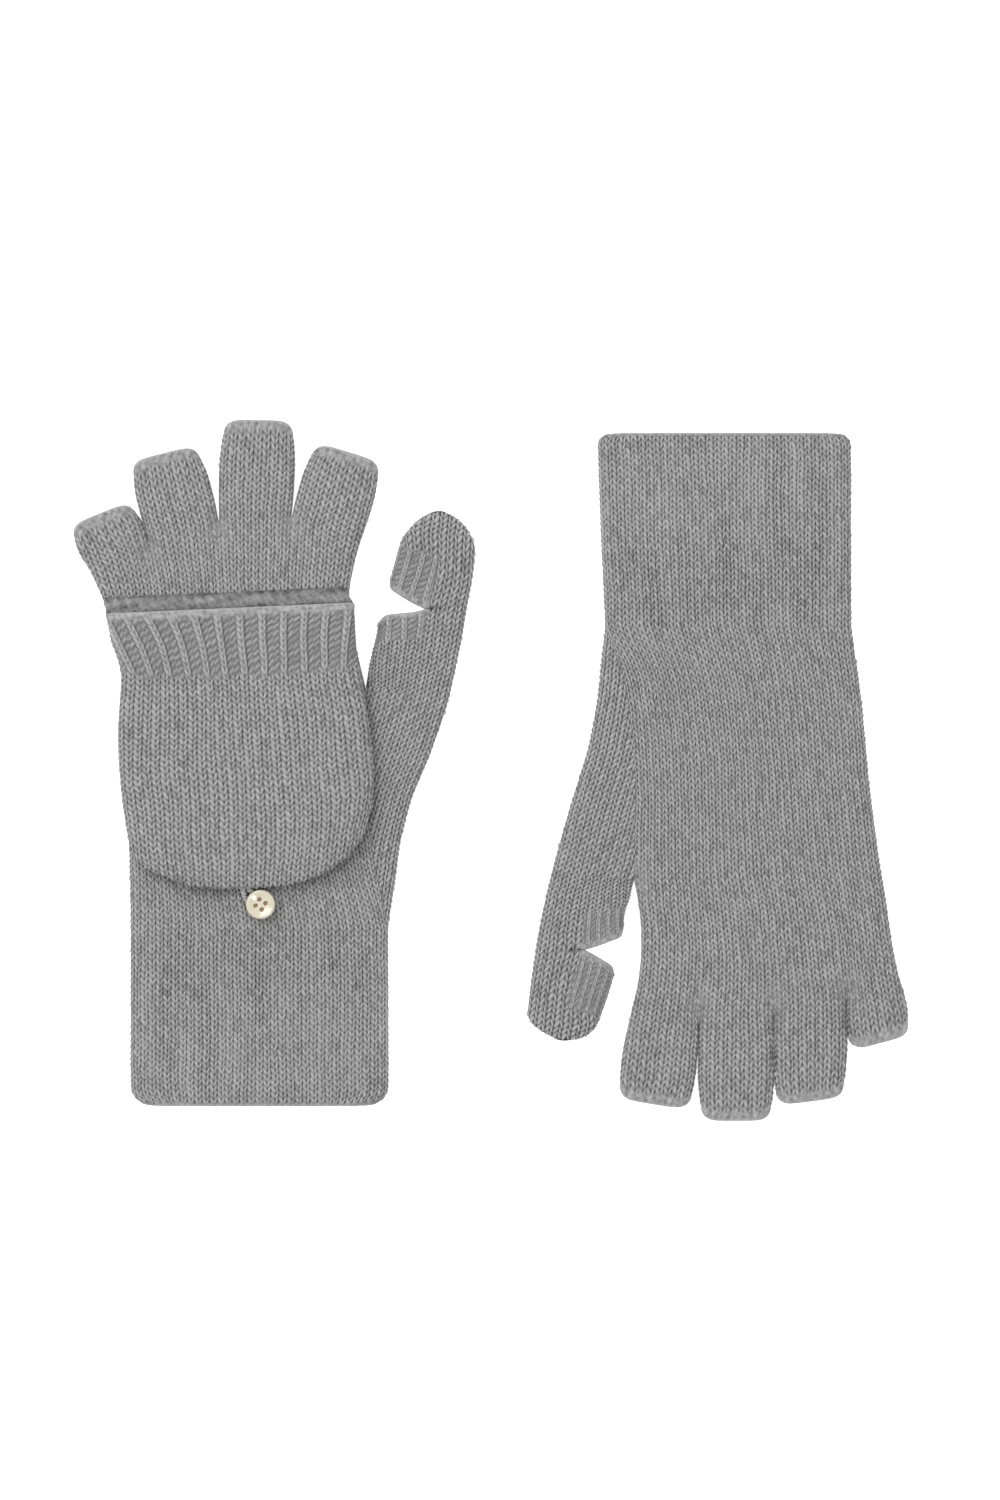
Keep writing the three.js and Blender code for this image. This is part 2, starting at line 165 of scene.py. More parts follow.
RIGHT = {
    "name": "right",
    "fine": -1,  # the side that faces up: the palm
    "cuff": {"sides": ((-45.2, -45.2, -45.3), (46.0, 45.0, 43.2)), "length": 68.0, "corner": 4.2},
    "little_edge": [(-45.4, 68), (-46.5, 77), (-49.0, 95), (-51.5, 122), (-54.9, 149), (-57.8, 167),
                    (-60.0, 182)],
    "seam": [(43.2, 68), (36, 90), (32.6, 120), (32.8, 159.6)],
    "web": [(32.8, 159.6), (31.4, 167), (30.4, 175), (30.4, 187), (31.6, 197)],
    "crotches": [(-62.2, 193), (-43.6, 201), (-17.5, 206.2), (9.4, 206.8), (33.0, 203)],
    "fingers": {
        "little": {"tip": (-55.8, 216.8), "lean": -15, "width": 23.0},
        "ring": {"tip": (-30.8, 237.8), "lean": -7.5, "width": 25.4},
        "middle": {"tip": (-3.8, 244.8), "lean": 0, "width": 26.0},
        "index": {"tip": (25.7, 238.9), "lean": 9, "width": 26.8},
    },
    "thumb": {
        "outer": [(43.2, 68), (44.5, 79), (46.2, 95), (49.2, 111), (52.5, 122), (58.0, 140), (62.4, 156)],
        "tube_outer": [(62.4, 156), (65.0, 167), (67.3, 178.6), (68.3, 184.8)],
        "tube_inner": [(32.8, 159.6), (35.0, 167.5), (36.2, 172), (36.5, 175.5)],
        "tube_lip": [(36.5, 175.5), (37.8, 178.6), (41.4, 180.3), (46.3, 182.1), (52.8, 184.0)],
        "cap_lip": [(39.9, 193.2), (41.0, 191.2), (43.3, 189.5), (47.2, 187.2), (52.8, 184.2)],
        "cap_inner": [(39.9, 193.2), (41.3, 198.2), (43.3, 204.4), (46.2, 211.6), (48.8, 214.6),
                      (52, 216.1), (55, 216.6)],
        "cap_outer": [(68.3, 184.8), (69.2, 191), (70.8, 203), (71.2, 207.2), (69.8, 210.6),
                      (66.2, 213.6), (61.2, 216.4)],
        "lip": (14.5, 20.0),
        "rib": 3.7,
    },
    "cap": {
        "little_side": [(-43.6, 92.5), (-47.4, 109), (-49.6, 131), (-51.6, 156), (-54, 166), (-57, 175.4)],
        "thumb_side": [(34.4, 98), (36.6, 112), (36.4, 128), (33.4, 145), (30.9, 160), (29.4, 178.6)],
        "end": [(-43.6, 92.5), (-40.6, 87.3), (-35, 83), (-26, 79.3), (-17, 77.4), (-3, 77.0),
                (12, 79.3), (22, 83.6), (29.6, 90), (34.4, 98)],
        "seam": [(-58.0, 181.8), (-25, 183.0), (5, 184.2), (27.2, 185.2)],
        "button": (0.7, 71.4),
    },
}


# ---- curves

def smooth(points, per_span=16):
    """A Catmull-Rom curve through points in the plan or in space, as a dense polyline."""
    p = np.array(points, float)
    ends = np.vstack([2 * p[0] - p[1], p, 2 * p[-1] - p[-2]])
    t = np.linspace(0, 1, per_span, endpoint=False)[:, None]
    spans = []
    for a, b, c, d in zip(ends, ends[1:], ends[2:], ends[3:]):
        spans.append(0.5 * (2 * b + (c - a) * t + (2 * a - 5 * b + 4 * c - d) * t**2
                            + (3 * b - a - 3 * c + d) * t**3))
    return np.vstack(spans + [p[-1:]])


def reach_of(line):
    """Length along a polyline to each of its points."""
    return np.concatenate([[0], np.cumsum(np.linalg.norm(np.diff(line, axis=0), axis=1))])


def along(line, t):
    """Points at shares t of a polyline's length."""
    reach = reach_of(line)
    s = np.asarray(t) * reach[-1]
    return np.stack([np.interp(s, reach, column) for column in line.T], -1)


def mixed(a, b, t):
    return a * (1 - t) + b * t


def lerp(a, b, t):
    """Points between points a and b, at shares t."""
    return mixed(a, b, np.asarray(t)[..., None])


def ease(x):
    """0 below 0, 1 above 1, and a smooth step between."""
    x = np.clip(x, 0, 1)
    return x * x * (3 - 2 * x)


def distance(points, lines):
    """Shortest plan distance from each of (..., 2) points to a set of dense polylines."""
    lines = [np.vstack([line[:-1:3], line[-1:]]) for line in lines]  # a third of their points is enough
    starts = np.vstack([line[:-1] for line in lines])
    ways = np.vstack([np.diff(line, axis=0) for line in lines])
    squares = np.maximum((ways**2).sum(1), 1e-12)
    flat = points.reshape(-1, 2)
    best = np.empty(len(flat))
    batch = 20000
    for low in range(0, len(flat), batch):
        gap = flat[low:low + batch, None, :] - starts[None]
        t = np.clip((gap * ways).sum(-1) / squares, 0, 1)
        best[low:low + batch] = np.sqrt(((gap - t[..., None] * ways) ** 2).sum(-1).min(1))
    return best.reshape(points.shape[:-1])


def valley(points, start, end, depth, width):
    """Depth of a crease that starts at full depth and runs out at its end."""
    a, b = np.array(start, float), np.array(end, float)
    way = b - a
    t = np.clip(((points - a) @ way) / (way @ way), 0, 1)
    gap = np.linalg.norm(points - (a + t[..., None] * way), axis=-1)
    return depth * (1 - t) ** 0.7 * np.exp(-(gap / width) ** 2)


def unit(vectors):
    """Vectors made 1 long."""
    return vectors / np.maximum(np.linalg.norm(vectors, axis=-1, keepdims=True), 1e-9)


def ripple(points, wavelength, seed):
    """Smooth wandering noise of about -1 to 1, from seven crossed waves."""
    draw = np.random.default_rng(seed)
    total = 0
    for _ in range(7):
        angle, phase = draw.uniform(0, 2 * np.pi, 2)
        k = 2 * np.pi / (wavelength * draw.uniform(0.7, 1.6))
        total += np.sin(k * (points[..., 0] * np.cos(angle) + points[..., 1] * np.sin(angle)) + phase)
    return total / 3.5


class Profile:
    """The rounded edge of a tube lying flat: a quarter ellipse, then level."""

    def __init__(self, reach, half):
        turn = np.linspace(0, np.pi / 2, 200)
        self.reach, self.half = reach, half
        self.plan = reach * (1 - np.cos(turn))
        steps = np.hypot(np.diff(self.plan), np.diff(half * np.sin(turn)))
        self.arc = np.concatenate([[0], np.cumsum(steps)])
        self.extra = self.arc[-1] - reach

    def height(self, gap):
        """Height over the mid plane at a plan distance from the edge."""
        x = np.clip(1 - gap / self.reach, 0, 1)
        return self.half * np.sqrt(1 - x * x)

    def inward(self, arc):
        """Plan distance from the edge after that much fabric."""
        return np.where(arc < self.arc[-1], np.interp(arc, self.arc, self.plan), arc - self.extra)

    def share(self, q, width, left, right):
        """Plan share of a share q of fabric that turns over its left and right edges by 0 to 1."""
        total = width + 2 * self.extra
        arc = q * total
        turned = np.where(q < 0.5, self.inward(arc), width - self.inward(total - arc)) / width
        weight = left * (1 - q) + right * q
        return q + weight * (turned - q)


TUBE = Profile(6.5, 3.9)
CAP = Profile(8.0, 3.3)


# ---- stitches, heights of 0 to about 1

CHANCE = np.random.default_rng(5).normal(0, 1, (257, 257))


def chance(row, column):
    """A stitch's own small difference from its neighbours."""
    return CHANCE[row % len(CHANCE), column % len(CHANCE)]


def stockinette(wale, course):
    """Plain knitting: two slanting legs a stitch, a pit inside each V and a groove between wales."""
    across = wale % 1
    left = across < V_MIDDLE
    out = np.where(left, 1 - across / V_MIDDLE, (across - V_MIDDLE) / (1 - V_MIDDLE))
    climbed = course - LEG_RISE * out
    leg = (0.5 + 0.5 * np.cos(2 * np.pi * climbed)) ** 0.75
    bow = np.sin(np.pi * out) ** 0.8
    root = np.where(out < 0.5, 0.4, 0.24)  # a leg's end is higher inside the V than at the groove
    floor = 0.45 * bow
    height = floor + (root + (1 - root) * bow - floor) * leg
    column = np.floor(wale).astype(int) * 2 + left
    row = np.floor(climbed + 0.5).astype(int)
    return height * (1 + 0.12 * chance(row, column))


def rib(turn, course, knit):
    """Height and tint of ribbing: a knit wale takes a share knit of each repeat, a purl trough the rest.
    The tint carries painted shade low in the troughs and painted shadow lines along each ridge's flanks.
    """
    across = turn % 1
    at = np.clip(across / knit, 0, 0.999)
    trough = np.clip((across - knit) / (1 - knit), 0, 1)
    ridge = ease(np.minimum(at, 0.999 - at) / 0.12)
    legs = stockinette(at, course)
    second = trough > 0.5
    climbed = course - 0.75 * (2 * trough - second) - 0.4 * second
    row = np.floor(climbed + 0.5).astype(int)
    column = np.floor(turn).astype(int) * 2 + second
    ground = (0.5 + 0.5 * np.cos(2 * np.pi * climbed)) * (0.7 + 0.3 * np.abs(np.sin(2 * np.pi * trough)))
    ground = ground * (1 + 0.2 * chance(row, column))
    height = 0.35 * ground * (1 - ridge) + ridge * (0.5 + 0.6 * legs)
    # painted shadow: a dark line along both flanks of each knit ridge
    groove = np.exp(-((np.minimum(across, np.abs(across - knit)) / 0.035) ** 2))
    # the tint follows the height, darker low in the troughs and in the legs' pits: painted shade
    tint = (0.34 + 0.32 * ground) * (1 - ridge) + ridge * (0.24 + 0.66 * legs)
    return height, tint * (1 - 0.4 * groove)


def rolled(flat, seed):
    """The fuzzy, strokeless surface of a bound-off edge."""
    along_edge = flat * np.array([1, 1.8])
    return 0.64 + 0.15 * ripple(flat, 2.2, seed) + 0.12 * ripple(along_edge, 4.2, seed + 1)


# ---- a glove's plan and its fabric

def curves_of(part):
    """The lines of a part of the plan, smoothed."""
    return {name: smooth(line) for name, line in part.items() if isinstance(line, list)}


class Glove:
    """A plan with its curves and its place in the frame. The right glove's three axes all run backwards."""

    def __init__(self, plan):
        self.plan = plan
        self.name = plan["name"]
        self.body = self.name + "_glove"
        self.fine = plan["fine"]
        cuff_low, cuff_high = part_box(f"{self.name}_cuff")
        hand_low, hand_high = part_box(f"{self.name}_hand")
        middle = (cuff_low[0] + cuff_high[0]) / 2
        self.mirrored = self.fine < 0
        mouth, palm = (cuff_high[1], hand_high[2]) if self.mirrored else (cuff_low[1], hand_low[2])
        self.origin = np.array([middle, mouth, palm])
        self.little_edge = smooth(plan["little_edge"] + [plan["crotches"][0]])
        self.seam = smooth(plan["seam"])
        self.web = smooth(plan["web"] + [plan["crotches"][-1]])
        self.thumb, self.cap = curves_of(plan["thumb"]), curves_of(plan["cap"])
        self.cap_length = reach_of(self.cap["thumb_side"])[-1]
        self.hem_start = 1 - HEM_DEPTH / self.cap_length  # as a share of the cap's sides
        self.sides = {}
        for k, finger in enumerate(FINGERS):
            self.sides[finger] = self.finger_sides(finger, plan["crotches"][k], plan["crotches"][k + 1])
        cuff = plan["cuff"]
        heights = (MOUTH, CUFF_HALFWAY, cuff["length"])
        self.cuff_sides = [smooth(list(zip(side, heights))) for side in cuff["sides"]]
        # Where fingers and thumb are joined on: place and reach of the blurred patch.
        self.joins = [(x, y - 2.5, 4.2) for x, y in plan["crotches"][1:4]] + [(*plan["seam"][-1], 5.0)]
        dome = np.array([self.thumb["cap_inner"][-1], self.thumb["cap_outer"][-1]])
        self.silhouette = ([self.little_edge, self.web, dome]
                           + [line for part, line in self.thumb.items() if "lip" not in part]
                           + [side for pair in self.sides.values() for side in pair] + self.cuff_sides)

    def finger_sides(self, finger, left, right):
        """A finger's two edges, from its crotches to the corners of its tip."""
        spec = self.plan["fingers"][finger]
        lean = np.radians(spec["lean"])
        across = np.array([np.cos(lean), -np.sin(lean)]) * (spec["width"] / 2)
        tip = np.array(spec["tip"]) - np.array([np.sin(lean), np.cos(lean)]) * TIP_DROP
        sides = []
        for base, way in ((np.array(left), -across), (np.array(right), across)):
            corner = tip + way * 0.97
            thirds = [base * (1 - t) + (tip + way) * t + way * 0.05 for t in (0.35, 0.7)]
            sides.append(smooth([base, *thirds, corner]))
        return sides

    def corner(self, y):
        """The width that the cuff's rounded corner takes off, and the width that makes room for it."""
        r = self.plan["cuff"]["corner"]
        return r - np.sqrt(r**2 - np.clip(MOUTH + r - y, 0, r) ** 2), 3 * r

    def rounded(self, gap, y):
        """Distance in from the cuff's side, after its corner is rounded off."""
        inset, room = self.corner(y)
        return gap + inset * np.clip(1 - gap / room, 0, 1)

    def squared(self, gap, y):
        """Distance in from the cuff's side, before its corner was rounded off."""
        inset, room = self.corner(y)
        return np.where(gap < room, (gap - inset) / (1 - inset / room), gap)

    def world(self, points):
        return points * MM * float(self.fine) + self.origin

    def point(self, x, y, z):
        return Vector(self.world(np.array([x, y, z], float)))

    def node(self, piece):
        return f"{self.name}_{piece}"


def normals_of(points, side):
    """Unit normals of an (r, c, 3) grid, turned to the given side in z."""
    n = unit(np.cross(np.gradient(points, axis=1), np.gradient(points, axis=0)))
    middle = n[n.shape[0] // 2, n.shape[1] // 2, 2]
    return n if middle * side > 0 else -n


def add_object(name, data):
    thing = bpy.data.objects.new(name, data)
    bpy.context.scene.collection.objects.link(thing)
    return thing


class Cloth:
    """Grids of fabric gathered into one mesh."""

    def __init__(self, glove, fabric=FABRIC):
        self.glove, self.fabric = glove, fabric
        self.points, self.relief, self.faces, self.welds = [], [], [], []
        self.count = 0

    def grid(self, points, relief, side):
        """Adds an (r, c, 3) grid whose outside faces the given side, and returns its vertex numbers."""
        rows, columns = points.shape[:2]
        numbers = self.count + np.arange(rows * columns).reshape(rows, columns)
        self.points.append(points.reshape(-1, 3))
        self.relief.append(np.broadcast_to(relief, (rows, columns)).reshape(-1))
        self.count += rows * columns
        quads = np.stack([numbers[:-1, :-1], numbers[:-1, 1:], numbers[1:, 1:], numbers[1:, :-1]], -1)
        quads = quads.reshape(-1, 4)
        self.faces.append(quads if side > 0 else quads[:, ::-1])
        return numbers

    def weld(self, kept, dropped):
        self.welds.append((kept.ravel(), dropped.ravel()))

    def finish(self, piece, material, nodes, body="glove"):
        """Makes the mesh, less the quads that welding closed up. A piece with no body is not attached to
        one.
        """
        points = np.vstack(self.points)
        relief = np.concatenate(self.relief)
        target = np.arange(len(points))
        for kept, dropped in self.welds:
            target[dropped] = target[kept]
        quads = target[np.vstack(self.faces)]
        quads = quads[(quads != np.roll(quads, -1, axis=1)).all(axis=1)]
        used, packed = np.unique(quads, return_inverse=True)
        quads = packed.reshape(-1, 4)
        if self.glove.mirrored:
            quads = quads[:, ::-1]
        name = self.glove.node(piece)
        data = bpy.data.meshes.new(name)
        data.vertices.add(len(used))
        data.vertices.foreach_set("co", self.glove.world(points[used]).astype(np.float32).ravel())
        data.loops.add(quads.size)
        data.loops.foreach_set("vertex_index", quads.astype(np.int32).ravel())
        data.polygons.add(len(quads))
        data.polygons.foreach_set("loop_start", np.arange(0, quads.size, 4, dtype=np.int32))
        data.polygons.foreach_set("use_smooth", np.ones(len(quads), bool))
        data.update(calc_edges=True)
        # the tint goes on each vertex; on the knitting it holds painted shade
        attribute = data.attributes.new("relief", "FLOAT", "POINT")
        attribute.data.foreach_set("value", relief[used].astype(np.float32))
        data.materials.append(material)
        thing = add_object(name, data)
        if body:
            body = self.glove.node(body)
            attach(thing, body)
        stands_for = [self.glove.node(node) for node in nodes]
        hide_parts(*stands_for)
        return thing


class Sheet:
    """One layer of fabric over a plan patch, with its stitches."""

    def __init__(self, cloth, plan, q, v, side, middle, lift, stitches, closed):
        """closed says which rows of the left and of the right edge are joined to the tube's other layer."""
        q, v = np.broadcast_arrays(q[None, :], v[:, None])
        self.cloth, self.side = cloth, side
        self.flat = plan(q, v)
        self.base = np.concatenate([self.flat, (middle + side * lift(self.flat))[..., None]], -1)
        for column, rows in zip((0, -1), closed):
            if rows is not None:
                self.base[rows, column, 2] = middle
        self.normals = normals_of(self.base, side)
        height = stitches(q, v, self.flat)
        # where the stitches give one value, the tint is their height, so the material paints shade into the
        # pits
        height, tint = height if isinstance(height, tuple) else (height, height)
        columns = q.shape[1]
        for column, outward, rows in ((0, -1, closed[0]), (-1, 1, closed[1])):
            if rows is not None:
                self.level(column, outward, rows)
                near = np.arange(columns) if column == 0 else np.arange(columns)[::-1]
                fade = np.where(rows[:, None], ease(near[None, :] / 3), 1.0)
                height = 0.5 + (height - 0.5) * fade
                tint = 0.55 + (tint - 0.55) * fade
        self.height = height
        raised = self.base + self.normals * (RELIEF * (height - LEVEL))[..., None]
        self.numbers = cloth.grid(raised, tint, side)

    def level(self, column, outward, rows):
        """Lays the normals of an edge column flat, so that the sheet meets its other layer there."""
        way = np.gradient(self.flat[:, column], axis=0)
        n = unit(np.stack([way[:, 1], -way[:, 0], np.zeros(len(way))], -1) * outward)
        self.normals[rows, column] = n[rows]

    def rim(self, end, columns=slice(None), bulge=1.0, lining_rows=8, row_step=6):
        """Rolls an open edge, the last row (end -1) or the first (0), over and back inside as a lining,
        with painted shade that deepens as the roll turns under and along the lining.
        """
        step = -1 if end == -1 else 1
        edge, n = self.base[end, columns], self.normals[end, columns]
        ahead = unit((edge - self.base[end + 3 * step, columns]).mean(0))
        run = reach_of(edge)
        r = self.cloth.fabric / 2 * ease(np.minimum(run, run[-1] - run) / EDGE_TAPER)[:, None]
        rise = (RELIEF * (self.height[end, columns] - LEVEL))[:, None]
        rows, tints = [], []
        for angle in np.linspace(0, np.pi, 7):
            rows.append(edge + ahead * (r * bulge * np.sin(angle)) - n * (r * (1 - np.cos(angle)))
                        + n * rise * (1 - angle / np.pi))
            # painted shade: the roll darkens as it turns under
            tints.append(0.85 - 0.4 * angle / np.pi)
        last = len(self.base) - 1
        for k in range(1, lining_rows + 1):
            i = last - k * row_step if end == -1 else k * row_step
            if 0 <= i <= last:
                rows.append(self.base[i, columns] - self.normals[i, columns] * self.cloth.fabric)
                # painted shade: the lining darkens deeper inside
                tints.append(max(0.15, 0.5 - 0.12 * k))
        points = np.stack(rows)
        tint = np.array(tints)[:, None] * np.ones(points.shape[:2])
        numbers = self.cloth.grid(points, tint, self.side * (1 if end == -1 else -1))
        self.cloth.weld(self.numbers[end, columns], numbers[0])


def layers(cloth, plan, wales, length, middle, lift, stitches, closed, sides=(1, -1), fine=1, hidden=COARSE,
           detail=PLAIN):
    """The layers of a flat tube, by side, joined along their closed edges. fine is the viewer's side."""
    v = np.linspace(0, 1, max(8, round(length / COURSE * detail[1])) + 1)
    made = {}
    for side in sides:
        q = np.linspace(0, 1, wales * (detail[0] if side == fine else hidden) + 1)
        made[side] = Sheet(cloth, plan, q, v, side, middle, lift, stitches, closed(v))
    if len(made) == 2:
        for column, rows in zip((0, -1), closed(v)):
            if rows is not None:
                cloth.weld(made[1].numbers[rows, column], made[-1].numbers[rows, column])
    return made


def all_rows(v):
    """A tube closed along both edges."""
    rows = np.ones(len(v), bool)
    return rows, rows


def glove_layers(cloth, plan, wales, length, stitches, closed=all_rows, lift=None, detail=PLAIN):
    glove = cloth.glove
    return layers(cloth, plan, wales, length, HAND_MIDDLE, lift or glove_lift(glove), stitches, closed,
                  fine=glove.fine, detail=detail)


def cap_layer(cloth, side, low, high, length, stitches, hidden=COARSE, detail=PLAIN):
    """One layer of the flip cap, between two shares of its sides."""
    plan = cap_plan(cloth.glove, low, high)
    made = layers(cloth, plan, CAP_WALES, length, CAP_MIDDLE, cap_lift(cloth.glove), stitches, all_rows,
                  sides=(side,), hidden=hidden, detail=detail)
    return made[side]


# ---- the glove

def glove_lift(glove):
    """Height of the glove's surface over its mid plane."""
    plan = glove.plan
    creases = []  # start, end, depth and width of each
    for k in (1, 2, 3):
        x, y = plan["crotches"][k]
        creases.append(((x, y), (x + (-2, 0, 2)[k - 1], y - 24), 1.3, 2.6))
    thumb_root = plan["seam"][-1]
    creases.append((thumb_root, (thumb_root[0] - 3, thumb_root[1] - 16), 1.2, 3.0))
    apex = plan["thumb"]["tube_lip"][-1]
    creases.append((apex, (apex[0] + 5, apex[1] + 1), 1.0, 1.3))

    def lift(flat):
        gap = distance(flat, glove.silhouette)
        height = TUBE.height(gap)
        soft = 0.2 * ripple(flat, 55, 3) + 0.1 * ripple(flat, 16, 4)
        for start, end, depth, width in creases:
            soft -= valley(flat, start, end, depth, width)
        return np.maximum(height + soft * ease(gap / 5), 0)

    return lift


def drifted(flat, wale, course, seed):
    """Wale and course as uneven tension leaves them."""
    wale = wale + 0.09 * ripple(flat, 26, seed) + 0.05 * ripple(flat, 7, seed + 2)
    course = course + 0.22 * ripple(flat, 30, seed + 1) + 0.09 * ripple(flat, 6, seed + 3)
    return wale, course


def plain(flat, wale, course, seed, joins=()):
    """Plain knitting, blurred where fingers were joined on."""
    height = stockinette(*drifted(flat, wale, course, seed))
    for x, y, reach in joins:
        near = np.exp(-((np.hypot(flat[..., 0] - x, (flat[..., 1] - y) * 0.7) / reach) ** 2))
        fuzz = 0.54 + 0.16 * ripple(flat, 2.4, seed + 5) + 0.1 * ripple(flat, 5.0, seed + 6)
        height = height * (1 - 0.6 * near) + fuzz * 0.6 * near
    return height


def level_stitches(wales, seed, joins=()):
    """Plain knitting whose wales spread evenly and whose courses lie level."""

    def stitches(q, v, flat):
        return plain(flat, q * wales, flat[..., 1] / COURSE, seed, joins)

    return stitches


def make_cuff(glove, material):
    length = glove.plan["cuff"]["length"]
    unrounded_lift = glove_lift(glove)

    def moved(x, y, change):
        """x with its distance to the nearer side of the cuff changed."""
        a, b = (np.interp(y, side[:, 1], side[:, 0]) for side in glove.cuff_sides)
        return np.where(x < (a + b) / 2, a + change(x - a, y), b - change(b - x, y))

    def place(q, v):
        y = mixed(MOUTH, length, v)
        a, b = (np.interp(y, side[:, 1], side[:, 0]) for side in glove.cuff_sides)
        x = mixed(a, b, TUBE.share(q, b - a, 1, 1))
        return np.stack([moved(x, y, glove.rounded), y], -1)

    def lift(flat):
        x, y = flat[..., 0], flat[..., 1]
        return unrounded_lift(np.stack([moved(x, y, glove.squared), y], -1))

    def stitches(q, v, flat):
        body = level_stitches(HAND_WALES, HAND_SEED)(q, v, flat)
        streak = 0.06 * ripple(flat * np.array([1, 0.12]), 9, 12)
        edge = ease((MOUTH + 0.7 - flat[..., 1]) / 0.6)
        return body * (1 - edge) + 0.7 * edge, (body + streak) * (1 - edge) + 0.75 * edge

    cloth = Cloth(glove)
    made = glove_layers(cloth, place, HAND_WALES, length, stitches, lift=lift)
    for sheet in made.values():
        sheet.rim(0, bulge=0.35, lining_rows=12, row_step=10)
    cloth.finish("cuff_knit", material, ["cuff"])


def finger_base(glove, finger, q):
    """Points across the foot of a finger, from its left crotch to its right one."""
    k = FINGERS.index(finger)
    a, b = np.array(glove.plan["crotches"][k:k + 2], float)
    return lerp(a, b, TUBE.share(q, np.linalg.norm(b - a), k == 0, k == 3))


def base_line(glove, q):
    """The hand's top row, through the feet of all the fingers."""
    points = np.zeros(q.shape + (2,))
    start = 0
    for finger in FINGERS:
        wide = BASE_WALES[finger] / HAND_WALES
        here = (q >= start - 1e-9) & (q <= start + wide + 1e-9)
        points[here] = finger_base(glove, finger, np.clip((q[here] - start) / wide, 0, 1))
        start += wide
    return points


def make_hand(glove, material):
    right = np.vstack([glove.seam, glove.web[1:]])
    reach = reach_of(right)
    free = reach[len(glove.seam) - 1] / reach[-1]
    corners = along(glove.little_edge, 1.0), along(right, 1.0)

    def place(q, v):
        turn_right = np.maximum(ease((v - free) / 0.08), ease(1 - v / 0.15))
        s = TUBE.share(q, HAND_WIDTH, 1, turn_right)
        flat = lerp(along(glove.little_edge, v), along(right, v), s)
        return flat + (base_line(glove, q) - lerp(*corners, s)) * (v**5)[..., None]

    def closed(v):
        return np.ones(len(v), bool), v > free

    cloth = Cloth(glove)
    stitches = level_stitches(HAND_WALES, HAND_SEED, glove.joins)
    glove_layers(cloth, place, HAND_WALES, reach[-1], stitches, closed)
    cloth.finish("hand_knit", material, ["hand"])


def make_finger(glove, finger, material):
    left, right = glove.sides[finger]
    k = FINGERS.index(finger)
    length = (reach_of(left)[-1] + reach_of(right)[-1]) / 2
    width = glove.plan["fingers"][finger]["width"]
    first = sum(BASE_WALES[f] for f in FINGERS[:k])
    base, full = BASE_WALES[finger], FINGER_WALES[finger]

    def place(q, v):
        turned = ease(v / 0.35)
        s = TUBE.share(q, width, np.maximum(turned, k == 0), np.maximum(turned, k == 3))
        a, b = along(left, v), along(right, v)
        flat = lerp(a, b, s)
        foot = finger_base(glove, finger, q) - lerp(left[0], right[0], s)
        arch = TIP_DROP * (1 - np.abs(2 * s - 1) ** 5.5) * v**3
        way = unit(b - a)
        upward = np.stack([-way[..., 1], way[..., 0]], -1)
        return flat + foot * ((1 - v) ** 3)[..., None] + upward * arch[..., None]

    def stitches(q, v, flat):
        wales = base + (full - base) * ease(v / 0.5)
        wale = first + base / 2 + (q - 0.5) * wales
        foot = finger_base(glove, finger, q)[..., 1]
        course = (foot + v * length) / COURSE
        body = plain(flat, wale, course, HAND_SEED, glove.joins)
        from_tip = (1 - v) * length
        near = ease((2.9 - from_tip) / 1.6)
        return body * (1 - near) + rolled(flat, 81) * near

    cloth = Cloth(glove)
    made = glove_layers(cloth, place, full, length, stitches)
    for sheet in made.values():
        sheet.rim(-1, lining_rows=7, row_step=8)
    cloth.finish(f"{finger}_knit", material, [f"{finger}_tube"])


def thumb_wale(q, width):
    """Wales counted from the thumb's outer edge."""
    return (1 - q) * (width + TUBE.extra) / WALE


def make_gusset(glove, material):
    left, right = glove.seam, glove.thumb["outer"]
    length = reach_of(right)[-1]

    def place(q, v):
        a, b = along(left, v), along(right, v)
        width = np.maximum(np.linalg.norm(b - a, axis=-1), 0.5)
        s = np.clip(1 - TUBE.inward((1 - q) * (width + TUBE.extra)) / width, 0, 1)
        return lerp(a, b, s)

    def stitches(q, v, flat):
        width = np.linalg.norm(along(right, v) - along(left, v), axis=-1)
        return plain(flat, thumb_wale(q, width), v * length / COURSE, THUMB_SEED)

    def closed(v):
        return None, np.ones(len(v), bool)

    cloth = Cloth(glove)
    glove_layers(cloth, place, THUMB_WALES, length, stitches, closed)
    cloth.finish("gusset_knit", material, ["thumb_gusset"])


